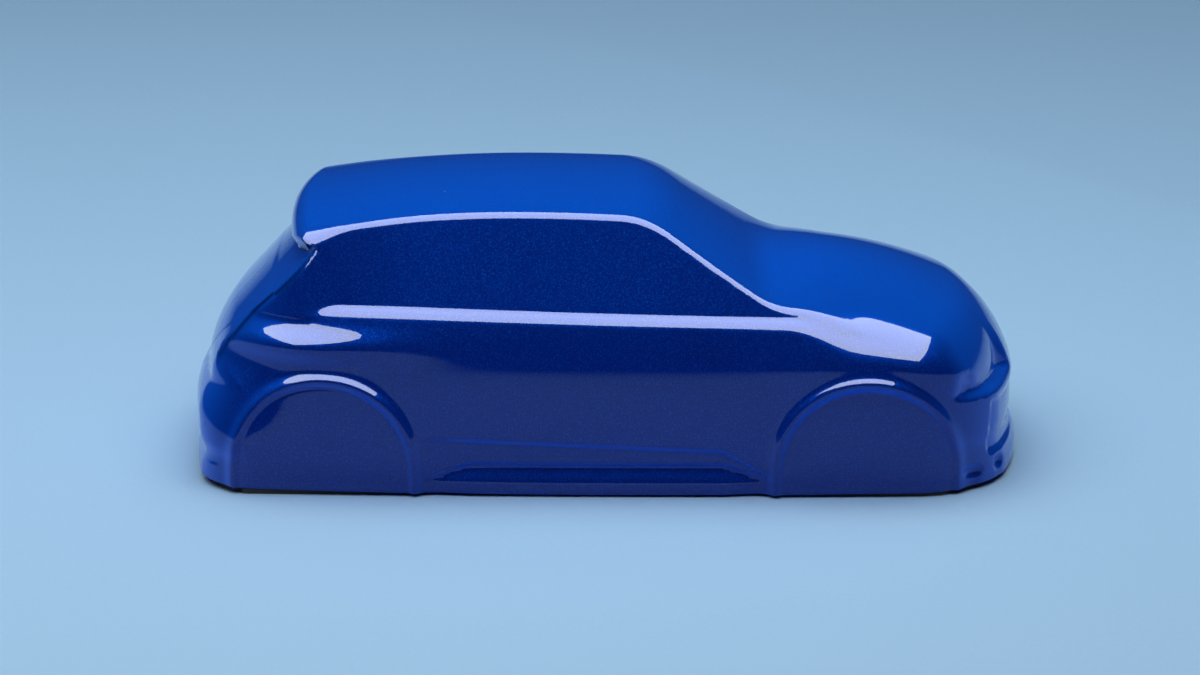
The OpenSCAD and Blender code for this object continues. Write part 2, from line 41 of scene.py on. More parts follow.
# Form of the painted body, in millimetres: the same sizes as the solids
form = {
    "bodyLength": 218.0, "bodyWidth": 96.0, "roofHeight": 74.8,
    "waistHeight": 26.0, "doorCurve": 60.0, "tuckCurve": 260.0, "sideBow": 2200.0,
    "deckHeight": 53.6, "deckFall": 0.022, "deckCross": 160.0, "deckHalf": 44.0,
    "hoodStart": 50.0, "hoodCurve": 96.0, "wingCurve": 122.0,
    "hoodRise": 2.2, "hoodSink": 3.0, "hoodBack": 44.0, "hoodMerge": 78.0,
    "hoodCrown": 3.0, "crownRise": (46.0, 62.0),
    "beltEdge": 2.4, "wingEdge": 7.0, "wingStart": 46.0, "wingFull": 66.0,
    "beltStep": 1.4, "beltCover": 0.8, "beltRound": 0.6, "beltRear": -80.0, "beltFull": -68.0,
    "windowLean": 0.43, "pillarLean": 0.36, "pillarStart": -45.0, "pillarFull": -75.0,
    "railRound": 1.6, "roofPeak": -22.0, "roofFront": 560.0, "roofRear": 350.0, "roofCross": 210.0,
    "shieldFoot": 52.0, "shieldHeight": 46.4, "shieldRise": 0.70, "shieldBow": 400.0, "shieldTwist": 0.00007,
    "headerRound": 4.0, "cowlRound": 2.6,
    "noseBow": 95.0, "noseRound": 17.0, "chinHeight": 4.5, "chinOut": 0.7,
    "chinHollowHeight": 11.5, "chinHollow": 0.6, "chinReach": 3.0,
    "lampTop": 43.0, "lampFoot": 27.0, "lampIn": 4.0, "lampInner": 10.0, "lampOuter": 45.0,
    "lampFade": 6.0, "lampLip": 2.5,
    "grilleTop": 23.0, "grilleFoot": 9.0, "grilleSide": 35.0, "grilleIn": 0.9, "grilleEdge": 1.0,
    "scoopIn": 0.6, "scoopHeight": 5.2, "scoopTall": 1.3,
    "scoopOuter": 40.5, "scoopOuterHalf": 2.2, "scoopInner": 31.5, "scoopInnerHalf": 2.0,
    "bumperHeight": 18.0, "bumperCurve": 10.0, "bumperHollowHeight": 8.5, "bumperHollow": 1.3,
    "bumperHollowTall": 2.6, "gateBlend": 1.0, "spoilerBlend": 0.6,
    "gateReach": 105.4, "gateFoot": 26.5, "gateTall": 15.7, "gateCurve": 16.9, "tailBow": 190.0,
    "spoilerReach": 83.1, "spoilerHeight": 61.0, "spoilerLip": 0.35, "spoilerArch": 0.005,
    "tailRound": 12.0, "creaseRound": 1.0, "creaseLow": 20.0, "creaseHigh": 36.0,
    "roofTail": 5.0, "roofTailSpan": (-64.0, -82.0),
    "quarterStart": -70.0, "quarterCurve": 23.0, "quarterLow": 12.0, "quarterHigh": 48.0,
    "rearAxle": -73.2, "frontAxle": 67.9, "axleHeight": 7.5,
    "discRadius": 21.3, "discFace": 47.2, "discStand": 0.4, "discOuter": 1.4, "discInner": 0.4,
    "lipOut": 1.5, "lipGap": 2.5, "lipHalf": 1.6,
    "haunchOut": 3.4, "haunchPlace": -88.0, "haunchLength": 29.0, "haunchHeight": 40.0, "haunchTall": 4.0,
    "wingOut": 1.9, "wingHeight": 35.0, "wingAhead": 2.0, "wingLength": 22.0, "wingTall": 8.0,
    "foldRear": 15.7, "foldFall": 0.041, "foldBend": 30.5, "foldDrop": 0.56, "foldDepth": 1.0,
    "foldAhead": 27.0, "foldHalf": 1.0, "foldFadeRear": (-52.0, -34.0), "foldFadeFront": (46.0, 36.0),
    "rockerHeight": 8.6, "rockerDepth": 0.8, "rockerRear": -36.0, "rockerFront": 31.0,
    "rockerFall": 0.36, "rockerHalf": 0.8, "rockerShelf": 0.4, "rockerFade": (3.6, 6.5),
    "wall": 2.0, "edgeMid": 0.6, "edgeRear": 1.9, "edgeFront": 1.4, "edgeRound": 0.55,
    "upright": 3.4,
}
halfLength = form["bodyLength"] / 2
halfWidth = form["bodyWidth"] / 2


def mix(a, b, t):
    return a + (b - a) * t


def ramp(a, b, t):  # smooth step from 0 at a to 1 at b
    s = np.clip((t - a) / (b - a), 0.0, 1.0)
    return s * s * (3.0 - 2.0 * s)


def bell(t, w):  # bump of height one and half breadth w
    return np.exp(-(t / w) ** 2)


def past(t):  # what is above nought
    return np.maximum(t, 0.0)


def softMax(a, b, k):  # the greater of two values, with the kink rounded over k
    h = np.clip(0.5 + 0.5 * (a - b) / k, 0.0, 1.0)
    return b + (a - b) * h + k * h * (1.0 - h)


def softMin(a, b, k):  # the lesser of two values, rounded in the same way
    return -softMax(-a, -b, k)


def roundAnd(a, b, r):  # inside both of two solids, with the edge rounded to radius r
    return np.minimum(-r, np.maximum(a, b)) + np.hypot(past(r + a), past(r + b))


# Half width of the doors: an upright curve about the waist, less a long bow in plan
def doorCurve(z):
    curve = np.where(z > form["waistHeight"], form["doorCurve"], form["tuckCurve"])
    return halfWidth - (z - form["waistHeight"]) ** 2 / (2 * curve)


def doorBow(x):
    return x ** 2 / (2 * form["sideBow"])


# Swellings over the wheels: a long one at the rear, a rounder one at the front wing
def haunches(x, z):
    rear = (form["haunchOut"] * bell(x - form["haunchPlace"], form["haunchLength"])
            * bell(z - form["haunchHeight"], form["haunchTall"]))
    front = (form["wingOut"] * bell(x - form["frontAxle"] - form["wingAhead"], form["wingLength"])
             * bell(z - form["wingHeight"], form["wingTall"]))
    return rear + front


# The side turns in towards the tail above the bumper
def quarter(x, z):
    return (past(form["quarterStart"] - x) ** 2 / (2 * form["quarterCurve"])
            * ramp(form["quarterLow"], form["quarterHigh"], z))


# Below the doors: a step in at the fold, a second at the rocker, then a flare out to the edge
def sill(x, z):
    fold = (form["foldRear"] - form["foldFall"] * (x - form["rearAxle"] - form["foldAhead"])
            - (form["foldDrop"] - form["foldFall"]) * past(x - form["foldBend"]))
    rocker = form["rockerHeight"] - form["rockerFall"] * (
        past(form["rockerRear"] - x) + past(x - form["rockerFront"]))
    inFold = ramp(*form["foldFadeRear"], x) * ramp(*form["foldFadeFront"], x)
    inRocker = ramp(*form["rockerFade"], rocker)
    first = form["foldDepth"] * inFold * ramp(fold + form["foldHalf"], fold - form["foldHalf"], z)
    second = form["rockerDepth"] * inRocker * ramp(rocker + form["rockerHalf"], rocker - form["rockerHalf"], z)
    shelf = rocker - form["rockerShelf"]
    share = np.clip((rocker - form["upright"]) / (form["rockerHeight"] - form["upright"]), 0, 1)
    back = ramp(shelf, form["upright"], np.minimum(z, shelf)) * share
    return back * (form["foldDepth"] * inFold + form["rockerDepth"] * inRocker) - (first + second)


# A raised lip round each wheel centre, and a flat disc inside it
def withDisc(w, x, z, axle):
    r = np.hypot(x - axle, past(z - form["axleHeight"]))
    lip = form["lipOut"] * bell(r - form["discRadius"] - form["lipGap"], form["lipHalf"])
    face = np.minimum(form["discFace"], w + form["discStand"])  # follows a side that turns in
    inside = ramp(form["discRadius"] + form["discOuter"], form["discRadius"] - form["discInner"], r)
    return mix(w + lip, face, inside)


def sideReach(x, z):
    w = doorCurve(z) - doorBow(x) + haunches(x, z) + sill(x, z) - quarter(x, z)
    return withDisc(withDisc(w, x, z, form["rearAxle"]), x, z, form["frontAxle"])


# Top of the lower body: a long fall, a cross bow, and a bonnet that curves down and is crowned
def beltHeight(x, y):
    across = (y / form["deckHalf"]) ** 2
    return (form["deckHeight"] - form["deckFall"] * x
            - past(x - form["hoodStart"]) ** 2 / 2 * mix(1 / form["hoodCurve"], 1 / form["wingCurve"], across)
            - y * y / (2 * form["deckCross"])
            + form["hoodCrown"] * ramp(*form["crownRise"], x) * (1 - across))


# Half width of the cabin: a step in from the doors at the belt, then a lean inwards
def cabinReach(x, z):
    foot = beltHeight(np.minimum(x, form["hoodStart"]), form["deckHalf"]) - form["beltEdge"]
    step = mix(-form["beltCover"], form["beltStep"], ramp(form["beltRear"], form["beltFull"], x))
    lean = mix(form["windowLean"], form["pillarLean"], ramp(form["pillarStart"], form["pillarFull"], x))
    return doorCurve(foot) - doorBow(x) - step - lean * past(z - foot) - quarter(x, form["quarterHigh"])


# Bonnet between the wings: above the belt at the windscreen, down into the wings further on
def hoodHeight(x, y):
    nearShield = ramp(form["hoodMerge"], form["hoodBack"], x)
    return beltHeight(x, y) + mix(-form["hoodSink"], form["hoodRise"], nearShield)


# Top of the cabin: the bowed roof, cut by the windscreen, which runs out into the bonnet
def cabinHeight(x, y):
    curve = np.where(x > form["roofPeak"], form["roofFront"], form["roofRear"])
    roof = form["roofHeight"] - (x - form["roofPeak"]) ** 2 / (2 * curve) - y * y / (2 * form["roofCross"])
    shield = (form["shieldHeight"] + (form["shieldRise"] - form["shieldTwist"] * y * y) * (form["shieldFoot"] - x)
              - form["shieldRise"] * y * y / (2 * form["shieldBow"]))
    return softMin(roof, softMax(shield, hoodHeight(x, y), form["cowlRound"]), form["headerRound"])


# Hollows in the nose: a lamp face that deepens downwards, the middle of the bumper, two oval scoops
def noseHollows(y, z):
    fade, edge = form["lampFade"], form["grilleEdge"]
    lamp = (form["lampIn"] * ramp(form["lampInner"], form["lampInner"] + fade, y)
            * ramp(form["lampOuter"], form["lampOuter"] - fade, y)
            * np.clip((form["lampTop"] - z) / (form["lampTop"] - form["lampFoot"]), 0, 1)
            * ramp(form["lampFoot"] - form["lampLip"], form["lampFoot"], z))
    grille = (form["grilleIn"] * ramp(form["grilleSide"] + edge, form["grilleSide"] - edge, y)
              * ramp(form["grilleFoot"] - edge, form["grilleFoot"] + edge, z)
              * ramp(form["grilleTop"] + edge, form["grilleTop"] - edge, z))
    scoops = form["scoopIn"] * bell(z - form["scoopHeight"], form["scoopTall"]) * (
        bell(y - form["scoopOuter"], form["scoopOuterHalf"])
        + bell(y - form["scoopInner"], form["scoopInnerHalf"]))
    return lamp + grille + scoops


# Length to the nose: a bow in plan, a chin that stands out, and the hollows
def noseReach(y, z):
    return (halfLength - form["chinOut"] - y * y / (2 * form["noseBow"])
            + form["chinOut"] * bell(z - form["chinHeight"], form["chinReach"])
            - form["chinHollow"] * bell(z - form["chinHollowHeight"], form["chinReach"]) - noseHollows(y, z))


# Length to the tail: the furthest back of bumper, tailgate and spoiler, less a bow in plan
def tailReach(y, z):
    bumper = (halfLength - past(z - form["bumperHeight"]) ** 2 / (2 * form["bumperCurve"])
              - form["bumperHollow"] * bell(z - form["bumperHollowHeight"], form["bumperHollowTall"]))
    rise = np.clip(z - form["gateFoot"], 0, form["gateTall"])
    gate = (form["gateReach"] - rise ** 2 / (2 * form["gateCurve"])
            - rise / form["gateCurve"] * past(z - form["gateFoot"] - form["gateTall"]))
    below = past(form["spoilerHeight"] + form["spoilerArch"] * y * y - z)
    spoiler = form["spoilerReach"] - form["spoilerLip"] * below ** 2
    tail = softMax(softMax(gate, bumper, form["gateBlend"]), spoiler, form["spoilerBlend"])
    return tail - y * y / (2 * form["tailBow"])


# Fine relief that is left out of the solids: a groove along the tail's crease, crisp oval scoops
# (x, y, z, half width, half height) and a softer join of bonnet and wing
detail = {
    "grooveDepth": 0.35, "grooveHalf": 0.9, "grooveFoot": (28.0, 36.0), "grooveTop": (66.0, 60.0),
    # the shade settings give the painted shade: strength, width and span of the dark line painted along the crease
    "shade": 0.9, "shadeHalf": 0.8, "shadeTop": (68.0, 64.0), "shadeRear": (-70.0, -80.0),
    "wingBlend": 2.0, "blendAlong": (44.0, 74.0), "blendAcross": (26.0, 42.0),
    "skinIn": 0.08, "scoopDepth": 1.2,
    "scoops": ((96.2, 40.1, 5.1, 2.9, 1.7), (103.2, 32.0, 5.5, 2.2, 1.7)),
}


def creased(side, tail, corner, z):  # side and tail rounded together, with the groove where they meet
    groove = (detail["grooveDepth"] * bell(side - tail, detail["grooveHalf"])
              * ramp(*detail["grooveFoot"], z) * ramp(*detail["grooveTop"], z))
    return roundAnd(side, tail, corner) + groove


def scoop(x, y, z, atX, atY, atZ, wide, tall):  # flat-bottomed oval hollow
    away = ((x - atX) ** 2 + (y - atY) ** 2) / wide ** 2 + ((z - atZ) / tall) ** 2
    return detail["scoopDepth"] * np.exp(-away ** 2)


# Distance outside the painted surface: doors under the belt surface, joined to the cabin,
# both rounded into the tail, then cut by the nose
def bodyDepth(x, y, z):
    y = np.abs(y)
    z = np.maximum(z, form["upright"])
    tail = -x - tailReach(y, z)
    corner = mix(form["tailRound"], form["creaseRound"], ramp(form["creaseLow"], form["creaseHigh"], z))
    shoulder = mix(form["beltEdge"], form["wingEdge"], ramp(form["wingStart"], form["wingFull"], x))
    rail = mix(form["railRound"], form["roofTail"], ramp(*form["roofTailSpan"], x))
    lower = roundAnd(creased(y - sideReach(x, z), tail, corner, z), z - beltHeight(x, y), shoulder)
    cabin = roundAnd(creased(y - cabinReach(x, z), tail, corner, z), z - cabinHeight(x, y), rail)
    onWing = ramp(*detail["blendAlong"], x) * ramp(*detail["blendAcross"], y)
    both = softMin(lower, cabin, mix(form["beltRound"], detail["wingBlend"], onWing))
    skin = roundAnd(both, x - noseReach(y, z), form["noseRound"])
    return skin + sum(scoop(x, y, z, *place) for place in detail["scoops"])


# Net of the skin: upright lines along a rounded rectangle in plan, level lines that bend into
# circles round the wheels, then lines that fan up to the roof. They crowd together about some
# places, each given as gain, middle and half breadth
net = {
    "halfLines": 245, "levelRows": 52, "joinRows": 14, "fanRows": 100, "edgeRows": 5,
    "innerLevelRows": 4, "innerFanRows": 12, "halvings": 30,
    "coreRear": (-64.0, 44.0), "coreFront": (76.0, 38.0), "lowCore": 95.0,
    "cornerRound": 12.0, "archReach": 27.6, "archFade": 9.0, "levelTop": 35.1, "fanEnd": 88.0,
    "archPast": 2.0, "archGain": 1.6, "archHalf": 4.0, "archRowGain": 2.2, "archRowHalf": 3.5,
    "noseCrowd": (1.2, 106.0, 9.0), "tailCrowd": (1.0, -112.0, 9.0), "sillCrowd": (1.2, 11.0, 5.0),
    "beltCrowd": (1.6, 12.0, 7.0), "railCrowd": (1.6, 43.0, 7.0),
    "spreadSteps": 4000, "normalStep": 0.01, "tiny": 1e-9,
}


def crowd(v, gain, middle, half):
    return gain * bell(v - middle, half)


# Places from start to end, closer together where the density is greater
def spread(start, end, count, density):
    fine = np.linspace(start, end, net["spreadSteps"])
    total = np.concatenate([[0.0], np.cumsum(density(0.5 * (fine[1:] + fine[:-1])))])
    return np.interp(np.linspace(0, total[-1], count), total, fine)


def planPoint(t):  # point of the rounded rectangle at a way t from its middle
    turn = net["cornerRound"] * math.pi / 2
    sideEnd = halfLength - net["cornerRound"]
    over = np.abs(t) - sideEnd
    a = np.clip(over / turn, 0, 1) * math.pi / 2
    x = np.where(over < 0, t, np.sign(t) * (sideEnd + net["cornerRound"] * np.sin(a)))
    y = net["cornerRound"] * (1 - np.cos(a)) - halfWidth + past(over - turn)
    return x, y


def bendRound(t, z, axle):  # squares about a wheel centre become circles
    u, w = t - axle, z - form["axleHeight"]
    s = np.maximum(np.abs(u), w)
    keep = ramp(net["archReach"], net["archReach"] + net["archFade"], s)
    scale = s / np.maximum(np.hypot(u, w), net["tiny"])
    ru = np.where(w > 0, u * scale, u)
    rw = np.where(w > 0, w * scale, w)
    return axle + mix(ru, u, keep), form["axleHeight"] + mix(rw, w, keep)


def edgeHeight(x):  # the lower edge is bowed: higher at nose and tail
    end = np.where(x < 0, form["edgeRear"], form["edgeFront"])
    return form["edgeMid"] + (end - form["edgeMid"]) * (x / halfLength) ** 2


# Points where rays from the core come to a level of depth, by halving the span
def castRays(start, way, level):
    near = np.zeros(start[0].shape)
    far = np.full(start[0].shape, halfLength)
    for _ in range(net["halvings"]):
        middle = 0.5 * (near + far)
        out = bodyDepth(*(s + w * middle for s, w in zip(start, way))) > level
        far, near = np.where(out, middle, far), np.where(out, near, middle)
    return np.stack([s + w * near for s, w in zip(start, way)], -1)


def coreHeight(x):  # the core is a sloping line inside the body
    (x0, z0), (x1, z1) = net["coreRear"], net["coreFront"]
    return mix(z0, z1, np.clip((x - x0) / (x1 - x0), 0, 1))


# Level rays out from a long low core, turning by the blend into the first rays of the fan
def levelRay(t, z, blend):
    bt, bz = bendRound(t, z, form["rearAxle"])
    bt, bz = bendRound(bt, bz, form["frontAxle"])
    x, y = planPoint(mix(bt, t, blend))
    rear = mix(-net["lowCore"], net["coreRear"][0], blend)
    front = mix(net["lowCore"], net["coreFront"][0], blend)
    coreX = np.clip(x, rear, front)
    bz = mix(bz, coreHeight(coreX), blend)
    length = np.hypot(x - coreX, y)
    return (coreX, 0 * x, bz), ((x - coreX) / length, y / length, 0 * x)


# Rays from the core, tilted up from level towards the roof
def fanRay(t, tilt):
    x, y = planPoint(t)
    coreX = np.clip(x, net["coreRear"][0], net["coreFront"][0])
    length = np.hypot(x - coreX, y)
    return ((coreX, 0 * x, coreHeight(coreX)),
            ((x - coreX) / length * np.cos(tilt), y / length * np.cos(tilt), np.sin(tilt)))


# Rows of the right half of one skin: level rows, rows that join them to the core, rows of the fan
def skinRows(t, level, levelRows, joinRows, fanRows, edgeLift):
    lowest = edgeHeight(planPoint(t)[0])
    discTop = form["axleHeight"] + form["discRadius"] + net["archPast"]
    heights = spread(0.0, 1.0, levelRows, lambda v: 1 + crowd(v * net["levelTop"], *net["sillCrowd"])
                     + crowd(v * net["levelTop"], net["archRowGain"], discTop, net["archRowHalf"]))
    z = mix((lowest + edgeLift)[None, :], net["levelTop"], heights[:, None])
    tt = np.broadcast_to(t, z.shape)
    rows = [castRays(*levelRay(tt, z, 0.0), level)]
    blend = np.linspace(0, 1, joinRows + 2)[1:-1, None]
    tt = np.broadcast_to(t, (joinRows, t.size))
    rows.append(castRays(*levelRay(tt, np.full(tt.shape, net["levelTop"]), blend), level))
    tilts = spread(0.0, math.radians(net["fanEnd"]), fanRows, lambda a: 1
                   + crowd(np.degrees(a), *net["beltCrowd"]) + crowd(np.degrees(a), *net["railCrowd"]))
    tt = np.broadcast_to(t, (fanRows, t.size))
    rows.append(castRays(*fanRay(tt, np.broadcast_to(tilts[:, None], tt.shape)), level))
    return np.concatenate(rows)


def formNormals(p):  # direction in which the depth grows fastest
    e = net["normalStep"]
    x, y, z = p[..., 0], p[..., 1], p[..., 2]
    g = np.stack([bodyDepth(x + e, y, z) - bodyDepth(x - e, y, z),
                  bodyDepth(x, y + e, z) - bodyDepth(x, y - e, z),
                  bodyDepth(x, y, z + e) - bodyDepth(x, y, z - e)], -1)
    return g / np.maximum(np.linalg.norm(g, axis=-1, keepdims=True), net["tiny"])


def wholeRing(half):  # mirrors the right half to the left
    left = half[:, -2:0:-1] * np.array([1.0, -1.0, 1.0])
    return np.concatenate([half, left], axis=1)


def bandFaces(first, rows, ring):  # four-sided faces between rings that follow each other
    r, j = np.meshgrid(np.arange(rows - 1), np.arange(ring), indexing="ij")
    a = first + r * ring + j
    b = first + r * ring + (j + 1) % ring
    return np.stack([a, b, b + ring, a + ring], -1).reshape(-1, 4)


def capFaces(first, ring):  # strips across an end ring, from side to side
    half = ring // 2
    i = np.arange(1, half - 1)
    a, b = first + i, first + i + 1
    c, d = first + (ring - i - 1) % ring, first + ring - i
    quads = np.stack([a, b, c, d], -1)
    ends = [[first, first + 1, first + ring - 1], [first + half - 1, first + half, first + half + 1]]
    return quads, ends


# Splits four corners along the diagonal whose middle lies nearer the surface
def splitFaces(points, quads):
    a, b, c, d = quads.T
    first = np.abs(bodyDepth(*(0.5 * (points[a] + points[c])).T))
    second = np.abs(bodyDepth(*(0.5 * (points[b] + points[d])).T))
    other = (second < first)[:, None]
    one = np.where(other, np.stack([a, b, d], -1), np.stack([a, b, c], -1))
    two = np.where(other, np.stack([b, c, d], -1), np.stack([a, c, d], -1))
    return np.concatenate([one, two])


# Closed shell: the outer skin, the inner wall and the rounded edge between them
def buildShell():
    corner = net["cornerRound"]
    wayEnd = halfLength - corner + corner * math.pi / 2 + halfWidth - corner
    arch = net["archGain"], form["discRadius"] + net["archPast"], net["archHalf"]
    t = spread(-wayEnd, wayEnd, net["halfLines"] + 1, lambda v: 1
               + crowd(np.abs(v - form["rearAxle"]), *arch) + crowd(np.abs(v - form["frontAxle"]), *arch)
               + crowd(v, *net["noseCrowd"]) + crowd(v, *net["tailCrowd"]))
    r = form["edgeRound"]
    outer = skinRows(t, -detail["skinIn"], net["levelRows"], net["joinRows"], net["fanRows"], r)
    inner = skinRows(t, -form["wall"], net["innerLevelRows"], 1, net["innerFanRows"], r)
    # rounded lower edge, from the outer wall under to the inner wall
    lowest = edgeHeight(planPoint(t)[0])
    turn = np.linspace(0, math.pi / 2, net["edgeRows"])
    edge, edgeNormals = [], []
    for a in np.concatenate([turn[:-1], math.pi - turn[::-1][1:]]):
        if a < math.pi / 2:
            level = -detail["skinIn"] - r * (1 - math.cos(a))
        else:
            level = -form["wall"] + r * (1 + math.cos(a))
        p = castRays(*levelRay(t, lowest + r, 0.0), level)
        p[:, 2] = lowest + r * (1 - math.sin(a))
        n = formNormals(p * [1, 1, 0] + [0, 0, form["upright"]]) * [1, 1, 0]
        edgeNormals.append(n * math.cos(a) + np.array([0, 0, -math.sin(a)]))
        edge.append(p)
    edge, edgeNormals = np.array(edge)[1:], np.array(edgeNormals)[1:]
    # one run of rings: down the inner wall, round the edge, up the outer wall
    run = np.concatenate([inner[::-1], edge[::-1], outer])
    normals = np.concatenate([-formNormals(inner[::-1]), edgeNormals[::-1], formNormals(outer)])
    run[:, [0, -1], 1] = 0.0
    points, normals = wholeRing(run), wholeRing(normals)
    rows, ring = points.shape[:2]
    bottomQuads, bottomEnds = capFaces(0, ring)
    topQuads, topEnds = capFaces((rows - 1) * ring, ring)
    points, normals = points.reshape(-1, 3), normals.reshape(-1, 3)
    hidden = len(inner) + len(edge)
    quads = np.concatenate([bandFaces(0, hidden + 1, ring), bottomQuads[:, ::-1], topQuads])
    ends = np.array([e[::-1] for e in bottomEnds] + topEnds)
    skin = splitFaces(points, bandFaces(hidden * ring, rows - hidden, ring))
    return points, normals, quads, np.concatenate([ends, skin])


def creaseShade(points):  # painted shade: greatest along the tail's crease, a dark dull line painted where the crease lies in shade
    x, y, z = points[:, 0], np.abs(points[:, 1]), points[:, 2]
    side = y - np.where(z > beltHeight(x, y), cabinReach(x, z), sideReach(x, z))
    tail = -x - tailReach(y, z)
    half = detail["shadeHalf"]
    line = bell(side - tail, half) * bell(np.maximum(side, tail), 2 * half)
    span = ramp(*detail["grooveFoot"], z) * ramp(*detail["shadeTop"], z) * ramp(*detail["shadeRear"], x)
    return detail["shade"] * line * span


def meshPiece(name, points, quads, tris, normals=None):
    mesh = bpy.data.meshes.new(name)
    mesh.vertices.add(len(points))
    mesh.vertices.foreach_set("co", (points * mm).astype(np.float32).ravel())
    loops = np.concatenate([quads.ravel(), tris.ravel()]).astype(np.int32)
    sizes = np.concatenate([np.full(len(quads), 4), np.full(len(tris), 3)]).astype(np.int32)
    mesh.loops.add(len(loops))
    mesh.loops.foreach_set("vertex_index", loops)
    mesh.polygons.add(len(sizes))
    starts = np.concatenate([[0], np.cumsum(sizes)[:-1]]).astype(np.int32)
    mesh.polygons.foreach_set("loop_start", starts)
    mesh.polygons.foreach_set("use_smooth", np.ones(len(sizes), dtype=bool))
    mesh.update(calc_edges=True)
    mesh.validate()
    if normals is not None:
        mesh.normals_split_custom_set_from_vertices(normals.tolist())
    piece = bpy.data.objects.new(name, mesh)
    bpy.context.scene.collection.objects.link(piece)
    return piece


points, normals, quads, tris = buildShell()
shell = meshPiece("paintedShell", points, quads, tris, normals)
# painted shade: this attribute holds the mask of the dark line painted along the tail's crease
crease = shell.data.attributes.new("crease", "FLOAT", "POINT")
crease.data.foreach_set("value", creaseShade(points).astype(np.float32))
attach(shell, "root")
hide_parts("shell")
print("shell", len(quads) * 2 + len(tris), "triangles", points.min(0).round(2), points.max(0).round(2))


paint = {
    "faceColour": (0.0004, 0.022, 0.25, 1), "faceCloud": (0.0004, 0.025, 0.275, 1),
    # painted light: the brighter blue is for faces that slant away from the eye, such as the roof, as if lit from
    # above
    "paintedSlantLightColour": (0.001, 0.101, 0.70, 1), "slantFrom": 0.06, "slantTo": 0.68,
    "cloudScale": 38.0, "cloudDetail": 4.0,
    "flakeColour": (0.002, 0.065, 0.46, 1), "flakeScale": 5200.0, "flakeTilt": 0.09, "sparkleFrom": 0.8,
    "dustColour": (0.45, 0.5, 0.6, 1), "dustCells": 80.0, "dustSize": 0.023,
    "roughness": 0.32, "roughSpread": 0.05, "metallic": 0.16,
    "coat": 1.0, "coatRough": 0.02, "coatIor": 1.46,
    # painted shade: a near-black blue and a dulled coat along the tail's crease, in place of the shade there
    "paintedCreaseShadeColour": (0.0002, 0.004, 0.03, 1), "creaseCoat": 0.2,
}


def newMaterial(name):
    material = bpy.data.materials.new(name)
    material.use_nodes = True
    tree = material.node_tree
    return material, tree.nodes, tree.links, tree.nodes["Principled BSDF"]


def newGroup(name, inputs, outputs):
    group = bpy.data.node_groups.new(name, "ShaderNodeTree")
    for label, kind, value in inputs:
        socket = group.interface.new_socket(label, in_out="INPUT", socket_type=kind)
        if value is not None:
            socket.default_value = value
    for label, kind in outputs:
        group.interface.new_socket(label, in_out="OUTPUT", socket_type=kind)
    return group, group.nodes.new("NodeGroupInput"), group.nodes.new("NodeGroupOutput")


# Sparse specks of dust: small round spots at random cell centres
def dustGroup():
    group, given, out = newGroup(
        "dustSpecks", [("Cell Scale", "NodeSocketFloat", 60.0), ("Spot Size", "NodeSocketFloat", 0.02)],
        [("Mask", "NodeSocketFloat")])
    nodes, links = group.nodes, group.links
    coords = nodes.new("ShaderNodeTexCoord")
    cells = nodes.new("ShaderNodeTexVoronoi")
    cells.feature = "F1"
    size = nodes.new("ShaderNodeMath")
    size.operation = "MULTIPLY"
    below = nodes.new("ShaderNodeMath")
    below.operation = "LESS_THAN"
    split = nodes.new("ShaderNodeSeparateColor")
    links.new(coords.outputs["Object"], cells.inputs["Vector"])
    links.new(given.outputs["Cell Scale"], cells.inputs["Scale"])
    links.new(cells.outputs["Color"], split.inputs["Color"])
    links.new(split.outputs["Red"], size.inputs[0])
    links.new(given.outputs["Spot Size"], size.inputs[1])
    links.new(cells.outputs["Distance"], below.inputs[0])
    links.new(size.outputs["Value"], below.inputs[1])
    links.new(below.outputs["Value"], out.inputs["Mask"])
    return group


# Metallic flakes: each cell tips the normal its own way and has its own brightness
def flakeGroup():
    group, given, out = newGroup(
        "metallicFlakes", [("Cell Scale", "NodeSocketFloat", 3000.0), ("Tilt", "NodeSocketFloat", 0.1)],
        [("Normal", "NodeSocketVector"), ("Sparkle", "NodeSocketFloat")])
    nodes, links = group.nodes, group.links
    coords = nodes.new("ShaderNodeTexCoord")
    geometry = nodes.new("ShaderNodeNewGeometry")
    cells = nodes.new("ShaderNodeTexVoronoi")
    centred = nodes.new("ShaderNodeVectorMath")
    centred.operation = "SUBTRACT"
    centred.inputs[1].default_value = (0.5, 0.5, 0.5)
    tipped = nodes.new("ShaderNodeVectorMath")
    tipped.operation = "SCALE"
    added = nodes.new("ShaderNodeVectorMath")
    added.operation = "ADD"
    unit = nodes.new("ShaderNodeVectorMath")
    unit.operation = "NORMALIZE"
    split = nodes.new("ShaderNodeSeparateColor")
    sparkle = nodes.new("ShaderNodeMapRange")
    sparkle.inputs["From Min"].default_value = paint["sparkleFrom"]
    links.new(coords.outputs["Object"], cells.inputs["Vector"])
    links.new(given.outputs["Cell Scale"], cells.inputs["Scale"])
    links.new(cells.outputs["Color"], centred.inputs[0])
    links.new(centred.outputs["Vector"], tipped.inputs[0])
    links.new(given.outputs["Tilt"], tipped.inputs["Scale"])
    links.new(geometry.outputs["Normal"], added.inputs[0])
    links.new(tipped.outputs["Vector"], added.inputs[1])
    links.new(added.outputs["Vector"], unit.inputs[0])
    links.new(cells.outputs["Color"], split.inputs["Color"])
    links.new(split.outputs["Blue"], sparkle.inputs["Value"])
    links.new(unit.outputs["Vector"], out.inputs["Normal"])
    links.new(sparkle.outputs["Result"], out.inputs["Sparkle"])
    return group


